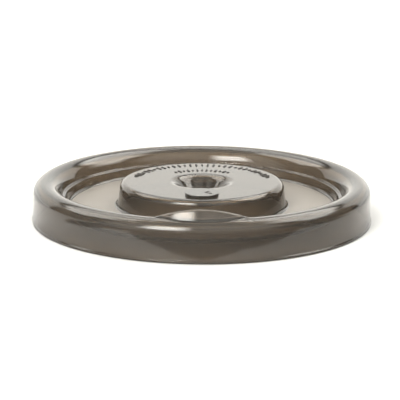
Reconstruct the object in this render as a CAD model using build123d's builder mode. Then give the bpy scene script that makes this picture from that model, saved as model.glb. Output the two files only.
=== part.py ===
from build123d import *
import math
import os

os.makedirs("parts", exist_ok=True)

# Lid of a small fermenting bucket: a smoke-coloured moulding with a rounded hollow rim, a sunken
# floor, a raised round boss with a funnel for the airlock, a vent plug and a lift tab at the front.
# Millimetres, +Z up, foot of the skirt on z = 0, front of the lid towards -Y.

# ---------------------------------------------------------------- driving dimensions
wall = 2.4                 # nominal thickness of the moulding
foot_r = 125.0             # outer radius of the bead at the foot of the skirt
bead_proud = 0.7           # the bead stands this far out from the skirt
skirt_r = foot_r - bead_proud   # outer radius of the skirt just above the bead
shoulder_r = 123.9         # outer radius of the skirt where the rim starts to round over
bead_h = 1.6               # height of the foot bead
mouth_r = 121.5            # inside radius of the skirt, which goes over the bucket
mouth_land_h = 8.0         # height of the straight land inside the foot
mouth_draft = 0.6          # the inside of the skirt narrows by this much above the land
rim_z = 29.0               # top of the rounded rim
rim_outer_round = 8.5      # rounding on the outside of the rim
rim_inner_round = 12.0     # rounding on the inside of the rim
rim_inner_r = 105.2        # where the inner wall would meet the top of the rim
ledge_z = 17.8             # small ledge part way down the inner wall
ledge_out_r = 102.8
ledge_in_r = 100.4
ledge_fall = 0.4           # the ledge falls by this much towards the floor
ledge_thick = 1.5
ledge_round = 1.0
floor_z = 10.8             # top face of the sunken floor
floor_r = 98.4             # outer edge of the floor
boss_base_r = 62.0         # raised boss at its foot
boss_top_r = 59.9          # raised boss at its top edge, before rounding
boss_z = 28.4              # top face of the boss
boss_round = 4.5           # rounding of the boss top edge
foot_round = 2.5           # fillets where walls meet the floor
bead_round = 0.4           # rounding of the foot bead
under_round = 1.2          # rounding of the corners under the floor

funnel_r = 20.2            # funnel mouth, where cone and boss top would meet
funnel_half_angle = 39.5   # degrees from the vertical
funnel_flare = 9.0         # rounding of the funnel mouth
seat_z = 16.0              # top face of the grommet seat at the bottom of the funnel
seat_hole_r = 6.5          # hole that holds the grommet

channel_z = 26.4           # ceiling of the hollow under the rim
channel_outer_round = 4.1
channel_inner_round = 6.0
gasket_in_r = 112.9
gasket_out_r = 116.6
gasket_h = 2.2
gasket_rib_w = 1.0         # the two ribs that hold the gasket
gasket_rib_h = 1.2
gasket_round = 0.7         # rounding of the gasket's lower edges
gap = 0.05                 # assembly gap between hand-fitted pieces
join = 0.4                 # how far a raised shape is sunk into the wall that carries it

plug_y = -41.8             # vent plug, in front of the funnel
plug_r = 12.2
plug_h = 1.9
plug_edge_round = 0.35
plug_stem_r = 5.0
plug_bore_r = 5.05         # guides the stem with a running fit
plug_stem_z = 20.5         # lower end of the stem
plug_lead_in = 0.8         # chamfer at the lower end of the stem
collar_r = 7.4
collar_z = 22.6            # lower end of the collar round the vent bore
seal_pocket_r = 9.6
seal_pocket_h = 0.9
seal_out_r = 9.4
seal_h = 0.6
ring_out_r = 2.3           # raised ring and dot on the plug
ring_in_r = 1.3
dot_r = 1.1
plug_mark_h = 0.3

grommet_bore_r = 4.2       # takes the airlock stem
grommet_flange_r = 8.8
grommet_flange_h = 2.0
grommet_bevel = 0.6

tab_rise = 6.7             # lift tab above the rim top
tab_half_w = 33.0          # half width of the tab where it runs into the rim
tab_thick = 2.2
tab_lean = 30.0            # degrees the tab leans inwards from the vertical
tab_foot_r = 119.6         # where the middle of the tab leaves the rim
tab_bow_r = 60.0           # the tab is bowed more tightly than the rim
tab_foot_z = 27.4

dash_h = 0.45              # height of the raised dashes on the boss
dash_w = 1.5
outer_dash_r = 50.0        # outer arc of dashes: centre radius, first angle, sweep, count, lengths
outer_dash_from = 14.0
outer_dash_sweep = 152.0
outer_dashes = 31
outer_dash_lengths = (3.2, 6.0, 6.0)
inner_dash_r = 33.0        # inner arc of dashes, in the same way
inner_dash_from = 54.0
inner_dash_sweep = 72.0
inner_dashes = 13
inner_dash_lengths = (2.8, 5.2)

# ---------------------------------------------------------------- derived dimensions
cone = math.tan(math.radians(funnel_half_angle))
seat_r = funnel_r - (boss_z - seat_z) * cone
under_floor_z = floor_z - wall
under_boss_z = boss_z - wall
under_seat_z = seat_z - wall
cone_shift = wall / math.cos(math.radians(funnel_half_angle))
under_funnel_r = funnel_r + cone_shift - wall * cone
under_seat_r = under_funnel_r - (under_boss_z - under_seat_z) * cone
draft = (boss_base_r - boss_top_r) / (boss_z - floor_z)
under_boss_top_r = boss_top_r + draft * wall - wall
under_boss_base_r = boss_base_r + draft * wall - wall
ledge_top_z = ledge_z + ledge_fall / 2
ledge_low_z = ledge_z - ledge_fall / 2
rim_slope = (rim_inner_r - ledge_out_r) / (rim_z - ledge_z)
low_slope = (ledge_in_r - floor_r) / (ledge_z - floor_z)
rim_shift = wall * math.sqrt(1 + rim_slope**2)
low_shift = wall * math.sqrt(1 + low_slope**2)
channel_in_r = rim_inner_r - (rim_z - channel_z) * rim_slope + rim_shift
under_ledge_z = ledge_z - ledge_thick
under_ledge_out_r = channel_in_r - (channel_z - under_ledge_z) * rim_slope
under_ledge_in_r = ledge_in_r - (ledge_z - under_ledge_z) * low_slope + low_shift
under_floor_r = floor_r - (floor_z - under_floor_z) * low_slope + low_shift


# Section of the moulding: the upper face from the seat hole outwards, the skirt, then back underneath.
# Each corner is (radius, height, rounding).
corners = [
    (seat_hole_r, seat_z, 0.0),
    (seat_r, seat_z, ledge_round),
    (funnel_r, boss_z, funnel_flare),
    (boss_top_r, boss_z, boss_round),
    (boss_base_r, floor_z, foot_round),
    (floor_r, floor_z, foot_round),
    (ledge_in_r, ledge_low_z, ledge_round),
    (ledge_out_r, ledge_top_z, ledge_round),
    (rim_inner_r, rim_z, rim_inner_round),
    (shoulder_r, rim_z, rim_outer_round),
    (skirt_r, bead_h + bead_proud, bead_round),
    (foot_r, bead_h, bead_round),
    (foot_r, 0.0, bead_round),
    (mouth_r, 0.0, bead_round),
    (mouth_r, mouth_land_h, 0.0),
    (mouth_r - mouth_draft, channel_z, channel_outer_round),
    (channel_in_r, channel_z, channel_inner_round),
    (under_ledge_out_r, under_ledge_z + ledge_fall / 2, ledge_round),
    (under_ledge_in_r, under_ledge_z - ledge_fall / 2, ledge_round),
    (under_floor_r, under_floor_z, under_round),
    (under_boss_base_r, under_floor_z, under_round),
    (under_boss_top_r, under_boss_z, boss_round - wall / 2),
    (under_funnel_r, under_boss_z, funnel_flare - wall),
    (under_seat_r, under_seat_z, ledge_round),
    (seat_hole_r, under_seat_z, 0.0),
]


def dash_arc(centre_r, start, sweep, count, lengths):
    """Radial dashes at even angles on an arc, taking their lengths in turn."""
    for step in range(count):
        angle = start + step * sweep / (count - 1)
        with Locations(Rotation(0, 0, angle) * Location((centre_r, 0))):
            SlotOverall(lengths[step % len(lengths)], dash_w)


# ---------------------------------------------------------------- lid shell
with BuildPart() as lid_shell:
    # Revolved section of the whole moulding
    with BuildSketch(Plane.XZ) as section:
        with BuildLine():
            Polyline(*[(r, z) for r, z, _ in corners], close=True)
        make_face()
        for r, z, rounding in corners:
            if rounding > 0:
                fillet(section.vertices().sort_by_distance((r, z))[0], radius=rounding)
    revolve(axis=Axis.Z)

    # Two ribs under the rim that hold the gasket
    with BuildSketch(Plane.XZ):
        for rib_r in (gasket_in_r - gasket_rib_w / 2, gasket_out_r + gasket_rib_w / 2):
            with Locations((rib_r, channel_z - (gasket_rib_h - join) / 2)):
                Rectangle(gasket_rib_w, gasket_rib_h + join)
    revolve(axis=Axis.Z)

    # Collar and bore that guide the stem of the vent plug
    with BuildSketch(Plane.XY.offset(collar_z)):
        with Locations((0, plug_y)):
            Circle(collar_r)
    extrude(amount=under_boss_z - collar_z + join)
    with BuildSketch(Plane.XY.offset(collar_z)):
        with Locations((0, plug_y)):
            Circle(plug_bore_r)
    extrude(amount=boss_z - collar_z, mode=Mode.SUBTRACT)

    # Raised generic dashes: an outer arc and a shorter inner arc behind the funnel
    with BuildSketch(Plane.XY.offset(boss_z - join)):
        dash_arc(outer_dash_r, outer_dash_from, outer_dash_sweep, outer_dashes, outer_dash_lengths)
        dash_arc(inner_dash_r, inner_dash_from, inner_dash_sweep, inner_dashes, inner_dash_lengths)
    extrude(amount=dash_h + join)

# Lift tab: a leaning bowed fin, cut to a shallow arch seen from the front, made round its own axis
# and then moved out to the rim
lean = math.radians(tab_lean)
tab_top_z = rim_z + tab_rise
rise = tab_top_z - tab_foot_z
top_out_r = tab_bow_r - rise * math.tan(lean)
side_shift = tab_thick / math.cos(lean)
arch_r = (tab_half_w**2 + tab_rise**2) / (2 * tab_rise)
with BuildPart() as lift_tab:
    with BuildSketch(Plane.XZ):
        with BuildLine():
            Polyline(
                (tab_bow_r, tab_foot_z),
                (top_out_r, tab_top_z),
                (top_out_r - side_shift, tab_top_z),
                (tab_bow_r - side_shift, tab_foot_z),
                close=True,
            )
        make_face()
    revolve(axis=Axis.Z)
    with BuildSketch(Plane.XZ.offset(tab_bow_r)):
        with Locations((0, tab_top_z - arch_r)):
            Circle(arch_r)
    extrude(amount=-tab_bow_r, mode=Mode.INTERSECT)

body = lid_shell.part + lift_tab.part.moved(Location((0, tab_bow_r - tab_foot_r, 0)))
body.label = "lid_shell"
export_step(body, "parts/lid_shell.step")

# ---------------------------------------------------------------- rim gasket
with BuildPart() as rim_gasket:
    with BuildSketch(Plane.XZ):
        with Locations(((gasket_in_r + gasket_out_r) / 2, channel_z - gasket_h / 2)):
            Rectangle(gasket_out_r - gasket_in_r - 2 * gap, gasket_h)
    revolve(axis=Axis.Z)
    lower_edges = rim_gasket.edges().filter_by(GeomType.CIRCLE).group_by(Axis.Z)[0]
    fillet(lower_edges, radius=gasket_round)
rim_gasket.part.label = "rim_gasket"
export_step(rim_gasket.part, "parts/rim_gasket.step")

# ---------------------------------------------------------------- vent plug
with BuildPart() as vent_plug:
    with BuildSketch(Plane.XY.offset(boss_z)):
        with Locations((0, plug_y)):
            Circle(plug_r)
    extrude(amount=plug_h)
    fillet(vent_plug.edges().group_by(Axis.Z)[-1], radius=plug_edge_round)
    # Pocket underneath for the seal
    with BuildSketch(Plane.XY.offset(boss_z)):
        with Locations((0, plug_y)):
            Circle(seal_pocket_r)
    extrude(amount=seal_pocket_h, mode=Mode.SUBTRACT)
    # Stem with a lead-in at its lower end
    with BuildSketch(Plane.XY.offset(plug_stem_z)):
        with Locations((0, plug_y)):
            Circle(plug_stem_r)
    extrude(amount=boss_z + seal_pocket_h + join - plug_stem_z)
    chamfer(vent_plug.edges().group_by(Axis.Z)[0], length=plug_lead_in)
    # Generic raised ring and dot on the top, to the right of the centre
    with BuildSketch(Plane.XY.offset(boss_z + plug_h - join)):
        with Locations((plug_r * 0.36, plug_y)):
            Circle(ring_out_r)
            Circle(ring_in_r, mode=Mode.SUBTRACT)
        with Locations((plug_r * 0.5, plug_y - ring_out_r - dot_r)):
            Circle(dot_r)
    extrude(amount=join + plug_mark_h)
vent_plug.part.label = "vent_plug"
export_step(vent_plug.part, "parts/vent_plug.step")

# ---------------------------------------------------------------- plug seal
with BuildPart() as plug_seal:
    with BuildSketch(Plane.XY.offset(boss_z + seal_pocket_h - seal_h)):
        with Locations((0, plug_y)):
            Circle(seal_out_r)
            Circle(plug_stem_r + gap, mode=Mode.SUBTRACT)
    extrude(amount=seal_h)
plug_seal.part.label = "plug_seal"
export_step(plug_seal.part, "parts/plug_seal.step")

# ---------------------------------------------------------------- airlock grommet
grommet_waist_r = seat_hole_r - gap
with BuildPart() as airlock_grommet:
    with BuildSketch(Plane.XZ):
        with BuildLine():
            Polyline(
                (grommet_bore_r, under_seat_z - grommet_flange_h),
                (grommet_flange_r - grommet_bevel, under_seat_z - grommet_flange_h),
                (grommet_flange_r, under_seat_z - grommet_flange_h + grommet_bevel),
                (grommet_flange_r, under_seat_z),
                (grommet_waist_r, under_seat_z),
                (grommet_waist_r, seat_z),
                (grommet_flange_r, seat_z),
                (grommet_flange_r, seat_z + grommet_flange_h - grommet_bevel),
                (grommet_flange_r - grommet_bevel, seat_z + grommet_flange_h),
                (grommet_bore_r, seat_z + grommet_flange_h),
                close=True,
            )
        make_face()
    revolve(axis=Axis.Z)
airlock_grommet.part.label = "airlock_grommet"
export_step(airlock_grommet.part, "parts/airlock_grommet.step")
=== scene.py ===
import math

import bpy
from mathutils import Matrix, Vector


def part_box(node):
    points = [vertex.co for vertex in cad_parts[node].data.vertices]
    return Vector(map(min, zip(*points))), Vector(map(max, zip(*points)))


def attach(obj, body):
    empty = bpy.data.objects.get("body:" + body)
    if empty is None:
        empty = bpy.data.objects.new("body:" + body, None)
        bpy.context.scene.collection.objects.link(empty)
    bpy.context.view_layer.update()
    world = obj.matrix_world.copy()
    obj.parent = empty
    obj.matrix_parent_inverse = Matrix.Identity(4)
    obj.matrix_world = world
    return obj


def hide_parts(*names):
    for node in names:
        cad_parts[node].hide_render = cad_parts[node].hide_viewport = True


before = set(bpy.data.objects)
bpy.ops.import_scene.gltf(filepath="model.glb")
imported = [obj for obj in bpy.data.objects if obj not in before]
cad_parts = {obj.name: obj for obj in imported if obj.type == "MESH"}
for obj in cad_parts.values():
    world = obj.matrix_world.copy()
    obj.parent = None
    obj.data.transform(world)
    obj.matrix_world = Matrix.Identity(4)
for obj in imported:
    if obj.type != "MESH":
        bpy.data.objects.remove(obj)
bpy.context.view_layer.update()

mm = 0.001

# ---------------------------------------------------------------- dimensions of the moulding, in mm
wall = 2.4
_, lid_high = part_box("lid_shell")
foot_r = lid_high.x / mm
tab_top_z = lid_high.z / mm
bead_proud = 0.7  # the foot bead stands this far out from the skirt
bead_h = 1.6
skirt_r = foot_r - bead_proud
shoulder_r = foot_r - 1.1  # the skirt narrows to this under the rim
mouth_r = 121.5
rim_z = 29.0
rim_outer_round = 8.5
rim_inner_round = 12.0
rim_inner_r = 105.2
ledge_r = 102.8
ledge_z = 18.0
boss_z = 28.4
floor_z = 10.8
seat_z = 16.0
seat_hole_r = 6.5
funnel_r = 20.2
funnel_flare = 9.0
funnel_half_angle = math.radians(39.5)
channel_z = 26.4
plug_low, plug_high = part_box("vent_plug")
plug_y = (plug_low.y + plug_high.y) / 2 / mm
plug_r = (plug_high.x - plug_low.x) / 2 / mm

cone = math.tan(funnel_half_angle)
seat_r = funnel_r - (boss_z - seat_z) * cone
under_floor_z = floor_z - wall
under_seat_z = seat_z - wall
under_boss_z = boss_z - wall
under_funnel_r = funnel_r + wall / math.cos(funnel_half_angle) - wall * cone
under_seat_r = under_funnel_r - (under_boss_z - under_seat_z) * cone

# Corners of the section, each (radius, height, rounding): upper face outwards, then back underneath.
upper = [
    (seat_hole_r, seat_z, 0.15),
    (seat_r, seat_z, 1.0),
    (funnel_r, boss_z, funnel_flare),
    (59.9, boss_z, 4.5),
    (62.0, floor_z, 2.5),
    (98.4, floor_z, 2.5),
    (100.4, 17.6, 1.0),
    (ledge_r, ledge_z, 1.0),
    (rim_inner_r, rim_z, rim_inner_round),
]
outer = [
    (shoulder_r, rim_z, rim_outer_round),
    (skirt_r, bead_h + bead_proud, 0.4),
    (foot_r, bead_h, 0.4),
    (foot_r, 0.0, 0.5),
    (mouth_r, 0.0, 0.4),
    (mouth_r, 8.0, 0.15),
    (mouth_r - 0.6, channel_z, 4.1),
    (107.1, channel_z, 6.0),
    (104.9, 16.5, 1.0),
    (102.5, 16.1, 1.0),
    (100.2, under_floor_z, 1.2),
    (59.9, under_floor_z, 1.2),
    (57.8, under_boss_z, 2.6),
    (under_funnel_r, under_boss_z, 6.0),
    (under_seat_r, under_seat_z, 1.0),
    (seat_hole_r, under_seat_z, 0.15),
]


def arc_corner(before, corner, after, radius, step=7.0):
    """Points of the arc that rounds a corner of a 2D outline, about one for every step degrees."""
    a, b, c = Vector(before), Vector(corner), Vector(after)
    to_a, to_c = (a - b).normalized(), (c - b).normalized()
    half = to_a.angle(to_c) / 2
    tangent = radius / math.tan(half)
    start, end = b + to_a * tangent, b + to_c * tangent
    centre = b + (to_a + to_c).normalized() * (radius / math.sin(half))
    count = max(3, round(math.degrees(math.pi - 2 * half) / step))
    spoke = start - centre
    swing = spoke.angle_signed(end - centre)
    points = []
    for i in range(count + 1):
        angle = -swing * i / count
        x = spoke.x * math.cos(angle) - spoke.y * math.sin(angle)
        y = spoke.x * math.sin(angle) + spoke.y * math.cos(angle)
        points.append(centre + Vector((x, y)))
    return points


def rounded(corners, longest=6.0, support=0.25):
    """A closed outline of rounded corners, with extra points along the straights so that it shades evenly."""
    runs = []
    for i, (r, z, radius) in enumerate(corners):
        before, after = corners[i - 1], corners[(i + 1) % len(corners)]
        runs.append(arc_corner(before[:2], (r, z), after[:2], radius))
    points = []
    for i, run in enumerate(runs):
        points += run
        start, end = run[-1], runs[(i + 1) % len(runs)][0]
        length = (end - start).length
        if length > 3 * support:
            inner_count = max(1, math.ceil((length - 2 * support) / longest))
            for k in range(inner_count + 1):
                t = (support + (length - 2 * support) * k / inner_count) / length
                points.append(start.lerp(end, t))
    return points


# ---------------------------------------------------------------- mesh helpers
def new_object(name, verts, faces, material, body):
    """A smooth mesh object of one material that rides on a body."""
    mesh = bpy.data.meshes.new(name)
    mesh.from_pydata([tuple(v) for v in verts], [], faces)
    mesh.update()
    mesh.shade_smooth()
    obj = bpy.data.objects.new(name, mesh)
    bpy.context.scene.collection.objects.link(obj)
    mesh.materials.append(material)
    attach(obj, body)
    return obj


def turned(sections, angles):
    """Verts and faces of a ring: one closed section of (r, z) points in mm for each angle."""
    verts, faces = [], []
    for section, angle in zip(sections, angles):
        for p in section:
            verts.append((p.x * math.cos(angle) * mm, p.x * math.sin(angle) * mm, p.y * mm))
    size, turns = len(sections[0]), len(sections)
    for j in range(turns):
        here, there = j * size, ((j + 1) % turns) * size
        for i in range(size):
            k = (i + 1) % size
            faces.append((here + k, there + k, there + i, here + i))
    return verts, faces


def turned_band(outline, centre, sides=40, closed=True):
    """Verts and faces of a turned outline about an upright axis, with its ends capped unless it is closed."""
    verts, faces = [], []
    for j in range(sides):
        a = 2 * math.pi * j / sides
        for r, z in outline:
            x, y = centre[0] + r * math.cos(a), centre[1] + r * math.sin(a)
            verts.append((x * mm, y * mm, z * mm))
    size = len(outline)
    for j in range(sides):
        here, there = j * size, ((j + 1) % sides) * size
        for i in range(size if closed else size - 1):
            k = (i + 1) % size
            faces.append((here + i, there + i, there + k, here + k))
    if not closed:
        faces.append(tuple(size * j + size - 1 for j in range(sides)))
        faces.append(tuple(size * j for j in reversed(range(sides))))
    return verts, faces


def together(first, second):
    """Two (verts, faces) pairs as one."""
    shift = len(first[0])
    return first[0] + second[0], first[1] + [tuple(v + shift for v in face) for face in second[1]]


# ---------------------------------------------------------------- materials
TRANSMISSION = 0.96
BASE = (0.66, 0.60, 0.53)
ABSORB = (0.46, 0.39, 0.29)
DENSITY = 560.0


def smoke_plastic(name, clear, low_roughness, high_roughness):
    """Smoke-tinted clear plastic, with its depth of colour from the thickness."""
    material = bpy.data.materials.new(name)
    material.use_nodes = True
    nodes, links = material.node_tree.nodes, material.node_tree.links
    shader = nodes["Principled BSDF"]
    output = nodes["Material Output"]
    shader.inputs["Transmission Weight"].default_value = clear
    shader.inputs["IOR"].default_value = 1.5
    coords = nodes.new("ShaderNodeTexCoord")
    clouds = nodes.new("ShaderNodeTexNoise")
    clouds.inputs["Scale"].default_value = 14.0
    clouds.inputs["Detail"].default_value = 3.0
    links.new(coords.outputs["Object"], clouds.inputs["Vector"])
    tint = nodes.new("ShaderNodeMix")
    tint.data_type = "RGBA"
    tint.inputs["A"].default_value = tuple(c * 0.92 for c in BASE) + (1,)
    tint.inputs["B"].default_value = tuple(c * 1.06 for c in BASE) + (1,)
    links.new(clouds.outputs["Fac"], tint.inputs["Factor"])
    links.new(tint.outputs["Result"], shader.inputs["Base Color"])
    haze = nodes.new("ShaderNodeTexNoise")
    haze.inputs["Scale"].default_value = 60.0
    haze.inputs["Detail"].default_value = 5.0
    links.new(coords.outputs["Object"], haze.inputs["Vector"])
    rough = nodes.new("ShaderNodeMapRange")
    rough.inputs["From Min"].default_value = 0.3
    rough.inputs["From Max"].default_value = 0.7
    rough.inputs["To Min"].default_value = low_roughness
    rough.inputs["To Max"].default_value = high_roughness
    links.new(haze.outputs["Fac"], rough.inputs["Value"])
    links.new(rough.outputs["Result"], shader.inputs["Roughness"])
    absorb = nodes.new("ShaderNodeVolumeAbsorption")
    absorb.inputs["Color"].default_value = ABSORB + (1,)
    absorb.inputs["Density"].default_value = DENSITY
    links.new(absorb.outputs["Volume"], output.inputs["Volume"])
    return material


def rubber(name, colour, roughness):
    """A finely grained satin surface."""
    material = bpy.data.materials.new(name)
    material.use_nodes = True
    nodes, links = material.node_tree.nodes, material.node_tree.links
    shader = nodes["Principled BSDF"]
    coords = nodes.new("ShaderNodeTexCoord")
    grain = nodes.new("ShaderNodeTexNoise")
    grain.inputs["Scale"].default_value = 900.0
    links.new(coords.outputs["Object"], grain.inputs["Vector"])
    tint = nodes.new("ShaderNodeMix")
    tint.data_type = "RGBA"
    tint.inputs["A"].default_value = tuple(c * 0.8 for c in colour) + (1,)
    tint.inputs["B"].default_value = tuple(colour) + (1,)
    links.new(grain.outputs["Fac"], tint.inputs["Factor"])
    links.new(tint.outputs["Result"], shader.inputs["Base Color"])
    shader.inputs["Roughness"].default_value = roughness
    bump = nodes.new("ShaderNodeBump")
    bump.inputs["Strength"].default_value = 0.15
    bump.inputs["Distance"].default_value = 0.0002
    links.new(grain.outputs["Fac"], bump.inputs["Height"])
    links.new(bump.outputs["Normal"], shader.inputs["Normal"])
    return material


smoke = smoke_plastic("smoke_plastic", TRANSMISSION, 0.02, 0.05)
matte_smoke = smoke_plastic("matte_smoke_plastic", 0.72, 0.42, 0.50)
# Painted shade: the raised dashes and the plug's marks get a near-black matte in place of the clear smoke
# plastic they are moulded in. It stands in for the dark look that reflection and refraction give them.
marks_painted_dark = rubber("raised_marks_painted_shade", (0.035, 0.031, 0.027), 0.5)
marks_painted_dark.node_tree.nodes["Principled BSDF"].inputs["Specular IOR Level"].default_value = 0.25
silicone = rubber("silicone", (0.06, 0.056, 0.05), 0.45)
black_rubber = rubber("grommet_rubber", (0.03, 0.03, 0.03), 0.55)

# ---------------------------------------------------------------- lid shell with its lift tab
tab_lean = math.radians(30.0)
tab_half_w = 33.0
tab_rise = tab_top_z - rim_z
arch_r = (tab_half_w**2 + tab_rise**2) / (2 * tab_rise)
tab_front_r = 119.6
tab_bow_r = 60.0
fin_reach = math.radians(24)
tab_thick = 2.2
tab_sink = 0.2  # the tab's foot starts this far inside the rim
tab_fade = 0.5  # the tab fades in from this far below the rim's top to as far above it
outer_centre = Vector((shoulder_r - rim_outer_round, rim_z - rim_outer_round))


def bezier(a, b, c, count):
    """Points of a quadratic curve from a to c, leaving out a."""
    points = []
    for i in range(1, count + 1):
        t = i / count
        points.append(a * (1 - t) ** 2 + b * (2 * t * (1 - t)) + c * t**2)
    return points


def straight(a, b, count):
    """Points of a straight line from a to b, leaving out a."""
    return [a.lerp(b, i / count) for i in range(1, count + 1)]


def crest_point(r):
    """The plain rim's upper face at this radius, between the inner and outer roundings."""
    if r > outer_centre.x:
        return Vector((r, outer_centre.y + math.sqrt(rim_outer_round**2 - (r - outer_centre.x) ** 2)))
    if r < inner_centre.x:
        return Vector((r, inner_centre.y + math.sqrt(rim_inner_round**2 - (r - inner_centre.x) ** 2)))
    return Vector((r, rim_z))


rim_slope_angle = math.atan2(rim_inner_r - ledge_r, rim_z - ledge_z)
inner_tangent = rim_inner_round * math.tan((math.pi / 2 - rim_slope_angle) / 2)
inner_centre = Vector((rim_inner_r + inner_tangent, rim_z - rim_inner_round))
fin_in_r = 106.0
fin_out_r = 121.6
CURVE, RUN = 6, 6  # points in each rounding and each straight of the tab's section


def crest_run(start_r, end_r, count):
    """Points of the plain rim's upper face between two radii, with both ends."""
    return [crest_point(start_r + (end_r - start_r) * i / count) for i in range(count + 1)]


def fin_section(angle):
    """The rim's upper face between fin_in_r and fin_out_r, raised into the tab near the front."""
    plain = crest_run(fin_in_r, fin_out_r, 4 * RUN + 5 * CURVE)
    turn = angle + math.pi / 2
    if math.cos(turn) < math.cos(fin_reach):
        return plain
    bow_centre = tab_front_r - tab_bow_r
    nearest = bow_centre * math.cos(turn)
    foot_r_here = nearest + math.sqrt(nearest**2 - bow_centre**2 + tab_bow_r**2)
    tab_foot = crest_point(foot_r_here) - Vector((0, tab_sink))
    sideways = abs(foot_r_here * math.sin(turn))
    top = tab_top_z - arch_r + math.sqrt(arch_r**2 - sideways**2)
    height = top - rim_z
    if height <= -tab_fade:
        return plain
    rise = max(top - tab_foot.y, 0.05)
    lean = Vector((-math.sin(tab_lean), math.cos(tab_lean)))
    up = rise / math.cos(tab_lean)
    tip_out = tab_foot + lean * up
    across = Vector((-tab_thick / math.cos(tab_lean) * 0.8, 0))
    tip_in = tip_out + across
    foot_in = crest_point(tab_foot.x - tab_thick / math.cos(tab_lean) - 0.4)
    soft_foot = min(1.3, 0.4 * up)
    soft_tip = min(0.7, 0.3 * up)
    inner_dir = (foot_in - tip_in).normalized()
    before_in = crest_point(foot_in.x - soft_foot)
    after_out = crest_point(tab_foot.x + soft_foot)
    points = crest_run(fin_in_r, before_in.x, RUN)
    points += bezier(before_in, foot_in, foot_in - inner_dir * soft_foot, CURVE)
    points += straight(points[-1], tip_in + inner_dir * soft_tip, RUN)
    points += bezier(points[-1], tip_in, (tip_in + tip_out) / 2, CURVE)
    points += bezier(points[-1], tip_out, tip_out - lean * soft_tip, CURVE)
    points += straight(points[-1], tab_foot + lean * soft_foot, RUN)
    points += bezier(points[-1], tab_foot, after_out, CURVE)
    points += crest_run(after_out.x, fin_out_r, RUN)[1:]
    plain = crest_run(fin_in_r, fin_out_r, len(points) - 1)
    share = min(max((height + tab_fade) / (2 * tab_fade), 0.0), 1.0)
    share = share * share * (3 - 2 * share)
    return [p.lerp(q, share) for p, q in zip(plain, points)]


def lid_sections():
    """One section of the lid for each angle, with finer steps across the tab."""
    outline = rounded(upper + outer)
    first = next(i for i, p in enumerate(outline) if p.x > fin_in_r)
    last = next(i for i, p in enumerate(outline) if p.x > fin_out_r) - 1
    before, after = outline[:first], outline[last + 1 :]
    front = -math.pi / 2
    angles, angle = [], front - fin_reach
    while angle < front + fin_reach:
        angles.append(angle)
        angle += math.radians(0.5)
    end = front - fin_reach + 2 * math.pi
    steps = 260
    angles += [angle + (end - angle) * i / steps for i in range(steps)]
    count = len(fin_section(front))
    sections = []
    for a in angles:
        fin = fin_section(a)
        if len(fin) != count:
            fin = crest_run(fin_in_r, fin_out_r, count - 1)
        sections.append(before + fin + after)
    return sections, angles


shell = new_object("lid_moulding", *turned(*lid_sections()), smoke, "lid")
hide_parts("lid_shell")

# The top of the sunken floor has a fine matte texture.
matte_in_r, matte_out_r = 64, 97
matte_below = (floor_z + 0.5) * mm
shell.data.materials.append(matte_smoke)
for face in shell.data.polygons:
    radii = [math.hypot(*shell.data.vertices[v].co.xy) / mm for v in face.vertices]
    faces_up = face.normal.z > 0.95 and face.center.z < matte_below
    if faces_up and min(radii) > matte_in_r and max(radii) < matte_out_r:
        face.material_index = 1

# ---------------------------------------------------------------- raised dashes behind the funnel, with painted shade
dash_h = 0.45
dash_w = 1.5
dash_steps = ((0.0, -0.1), (0.02, 0.3), (0.06, 0.41), (0.14, dash_h))  # (inset, height)
dash_end_steps = 8


def dash_rings(length):
    """Rounded outlines of one dash, from inside the wall up to its softened top."""
    rings = []
    for inset, height in dash_steps:
        half_w = dash_w / 2 - inset
        ring = []
        for end in (1, -1):
            for i in range(dash_end_steps + 1):
                a = math.radians(-90 + 180 * i / dash_end_steps)
                x = end * (length / 2 - dash_w / 2 + half_w * math.cos(a))
                ring.append(Vector((x, end * half_w * math.sin(a), height)))
        rings.append(ring)
    return rings


def dash_arc(centre_r, start, sweep, count, lengths):
    """Verts and faces of radial dashes at even angles on an arc, taking their lengths in turn."""
    verts, faces = [], []
    for step in range(count):
        angle = math.radians(start + step * sweep / (count - 1))
        place = Matrix.Rotation(angle, 4, "Z") @ Matrix.Translation((centre_r, 0, boss_z))
        rings = dash_rings(lengths[step % len(lengths)])
        size, base = len(rings[0]), len(verts)
        for ring in rings:
            verts += [place @ p * mm for p in ring]
        for level in range(len(rings) - 1):
            for i in range(size):
                k = (i + 1) % size
                low, high = base + level * size, base + (level + 1) * size
                faces.append((low + i, low + k, high + k, high + i))
        faces.append(tuple(range(base + size * (len(rings) - 1), base + size * len(rings))))
        faces.append(tuple(reversed(range(base, base + size))))
    return verts, faces


outer_dashes = dash_arc(50.0, 14, 152, 31, (3.2, 6.0, 6.0))
inner_dashes = dash_arc(33.0, 54, 72, 13, (2.8, 5.2))
dashes = new_object("raised_dashes", *together(outer_dashes, inner_dashes), marks_painted_dark, "lid")

# ---------------------------------------------------------------- painted shade: a dark skin over the sides of the plug's ring and dot
skin = 0.03  # how far the skin stands out sideways from the CAD's own ring and dot
mark_bevel = 0.08
mark_depth = 0.35
mark_gap = 0.002  # the skin ends this far below the top of the plug
mark_top = plug_high.z / mm - mark_gap
mark_low = mark_top - mark_depth
ring_out_r, ring_in_r, dot_r = 2.3, 1.3, 1.1
ring_centre = (plug_r * 0.36, plug_y)
dot_centre = (plug_r * 0.5, plug_y - ring_out_r - dot_r)


def mark_side(r, inwards):
    """One bevelled side of a mark, as (r, z) points from its foot to its top."""
    return [(r, mark_low), (r, mark_top - mark_bevel), (r - inwards * mark_bevel, mark_top)]


ring_outline = mark_side(ring_out_r + skin, 1) + mark_side(ring_in_r - skin, -1)[::-1]
ring = turned_band(ring_outline, ring_centre)
dot = turned_band(mark_side(dot_r + skin, 1), dot_centre, closed=False)
plug_mark = new_object("plug_mark", *together(ring, dot), marks_painted_dark, "plug")

# ---------------------------------------------------------------- CAD nodes that stay
for node, material in (
    ("rim_gasket", silicone),
    ("plug_seal", silicone),
    ("airlock_grommet", black_rubber),
    ("vent_plug", smoke),
):
    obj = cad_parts[node]
    obj.data.materials.clear()
    obj.data.materials.append(material)

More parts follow.
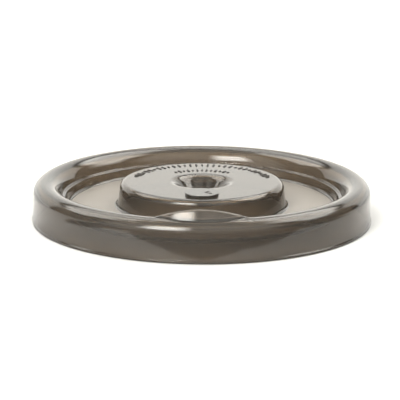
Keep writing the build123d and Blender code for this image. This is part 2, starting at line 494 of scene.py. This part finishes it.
# ---------------------------------------------------------------- floor, light and camera
def stage_mesh(name, verts, faces, material_name, grey):
    """A matt mesh object of the studio."""
    mesh = bpy.data.meshes.new(name)
    mesh.from_pydata(verts, [], faces)
    obj = bpy.data.objects.new(name, mesh)
    bpy.context.scene.collection.objects.link(obj)
    material = bpy.data.materials.new(material_name)
    material.use_nodes = True
    shader = material.node_tree.nodes["Principled BSDF"]
    shader.inputs["Base Color"].default_value = (grey, grey, grey, 1)
    shader.inputs["Roughness"].default_value = 0.9
    mesh.materials.append(material)
    return obj


reach = 6.0
floor_drop = 0.0004
floor_verts = [(-reach, -reach, 0), (reach, -reach, 0), (reach, reach, 0), (-reach, reach, 0)]
floor = stage_mesh("floor", floor_verts, [(0, 1, 2, 3)], "paper", 0.62)
floor.location.z = -floor_drop

# Painted reflection: a dark sheet, seen only in reflections, stands for the white table ending a little way
# in front of the lid, so the skirt reflects darkness from there while the camera still sees white floor.
# Corners of that edge from left to right, each (x, y, rounding) in mm.
table_edge_corners = [
    (-200.0, 70.0, 5.0),
    (-166.0, -60.0, 40.0),
    (-134.0, -168.0, 12.0),
    (-45.0, -160.0, 20.0),
    (0.0, -134.0, 8.0),
    (45.0, -156.0, 15.0),
    (150.0, -136.0, 40.0),
    (212.0, -10.0, 60.0),
    (216.0, 90.0, 5.0),
]
edge_lift = 0.0002
edge_spread = 40  # the dark mesh reaches this many times further out
edge_verts = []
for i, (x, y, rounding) in enumerate(table_edge_corners[1:-1], 1):
    before, after = table_edge_corners[i - 1], table_edge_corners[i + 1]
    for p in arc_corner(before[:2], (x, y), after[:2], rounding):
        x_far, y_far = p.x * mm * edge_spread, p.y * mm * edge_spread
        edge_verts += [(p.x * mm, p.y * mm, edge_lift), (x_far, y_far, edge_lift)]
edge_faces = [(i, i + 1, i + 3, i + 2) for i in range(0, len(edge_verts) - 2, 2)]
dark_reflection_sheet = stage_mesh("dark_reflection_sheet", edge_verts, edge_faces, "reflection_only_dark_sheet", 0.04)
dark_reflection_sheet.visible_camera = False
dark_reflection_sheet.visible_diffuse = False
dark_reflection_sheet.visible_transmission = False
dark_reflection_sheet.visible_shadow = False

# A low lamp brightens the table in front of the lid on the left.
low_lamp_data = bpy.data.lights.new("low_lamp", "AREA")
low_lamp_data.size = 0.12
low_lamp_data.energy = 0.6
low_lamp = bpy.data.objects.new("low_lamp", low_lamp_data)
low_lamp.location = (-0.10, -0.32, 0.22)
aim = Vector((-0.06, -0.15, 0)) - low_lamp.location
low_lamp.rotation_euler = aim.to_track_quat("-Z", "Y").to_euler()
low_lamp.visible_glossy = False
low_lamp.visible_camera = False
bpy.context.scene.collection.objects.link(low_lamp)

world = bpy.data.worlds.new("studio")
bpy.context.scene.world = world
world.use_nodes = True
sky_nodes, sky_links = world.node_tree.nodes, world.node_tree.links


def compute(operation, *values):
    """A Math node of the studio world, whose inputs are numbers or other sockets."""
    node = sky_nodes.new("ShaderNodeMath")
    node.operation = operation
    for socket, value in zip(node.inputs, values):
        if isinstance(value, (int, float)):
            socket.default_value = value
        else:
            sky_links.new(value, socket)
    return node.outputs["Value"]


def ramp(value, start, end):
    """0 before start, 1 after end, smooth between."""
    node = sky_nodes.new("ShaderNodeMapRange")
    node.interpolation_type = "SMOOTHSTEP"
    node.inputs["From Min"].default_value = start
    node.inputs["From Max"].default_value = end
    sky_links.new(value, node.inputs["Value"])
    return node.outputs["Result"]


def panel(azimuth, edges, elevations, soft, brightness):
    """A soft-edged panel of light between two azimuths and two elevations, in degrees."""
    leftward = compute("MULTIPLY", azimuth, -1)
    down = compute("MULTIPLY", height, -1)
    share = compute("MULTIPLY", ramp(azimuth, edges[0] - soft, edges[0] + soft), brightness)
    share = compute("MULTIPLY", share, ramp(leftward, -edges[1] - soft, -edges[1] + soft))
    share = compute("MULTIPLY", share, ramp(height, elevations[0] - soft, elevations[0] + soft))
    return compute("MULTIPLY", share, ramp(down, -elevations[1] - soft, -elevations[1] + soft))


toward = sky_nodes.new("ShaderNodeTexCoord")
split = sky_nodes.new("ShaderNodeSeparateXYZ")
sky_links.new(toward.outputs["Generated"], split.inputs["Vector"])
east, north, up = split.outputs
height = compute("DEGREES", compute("ARCSINE", up))
# Azimuth from the front and from the back, positive to the right.
from_front = compute("DEGREES", compute("ARCTAN2", east, compute("MULTIPLY", north, -1)))
from_back = compute("DEGREES", compute("ARCTAN2", east, north))

dim_room = 0.08
backdrop = 1.6  # what the camera itself sees behind the table
glow = dim_room
for lamp in (
    panel(from_front, (-41, -12), (21, 49), 8, 17.0),  # main softbox, front left
    panel(from_front, (82, 112), (30, 64), 8, 6.5),  # lamp at the right
    panel(from_back, (12, 66), (37, 68), 3, 5.2),  # high lamps behind: right, left, middle
    panel(from_back, (-80, -38), (36, 68), 3, 4.5),
    panel(from_back, (-34, 8), (37, 68), 3, 3.2),
    panel(from_back, (-58, 50), (-90, 32), 2, 1.65),  # white backdrop
    panel(from_front, (-72, -40), (0, 66), 10, 1.1),  # room in front: left, right, low
    panel(from_front, (-6, 62), (24, 66), 10, 1.2),
    panel(from_front, (-40, 50), (-4, 24), 10, 0.5),
    panel(from_front, (-181, 181), (68, 91), 5, 0.7),  # ceiling
):
    glow = compute("ADD", glow, lamp)
seen = sky_nodes.new("ShaderNodeLightPath")
glow = compute("MAXIMUM", glow, compute("MULTIPLY", seen.outputs["Is Camera Ray"], backdrop))
sky_links.new(glow, sky_nodes["Background"].inputs["Strength"])
sky_nodes["Background"].inputs["Color"].default_value = (1.0, 0.985, 0.93, 1)

camera_data = bpy.data.cameras.new("camera")
camera = bpy.data.objects.new("camera", camera_data)
bpy.context.scene.collection.objects.link(camera)
bpy.context.scene.camera = camera
distance = 1.574512
elevation = math.radians(14.63)
roll = math.radians(0.33)
camera.matrix_world = (
    Matrix.Translation((0, -distance * math.cos(elevation), distance * math.sin(elevation)))
    @ Matrix.Rotation(math.pi / 2 - elevation, 4, "X")
    @ Matrix.Rotation(roll, 4, "Z")
)
camera_data.sensor_width = 36.0
camera_data.lens = 191.7
camera_data.shift_x = -0.00425
camera_data.shift_y = 0.045475
camera_data.clip_end = 100

bpy.context.scene.view_settings.view_transform = "Standard"
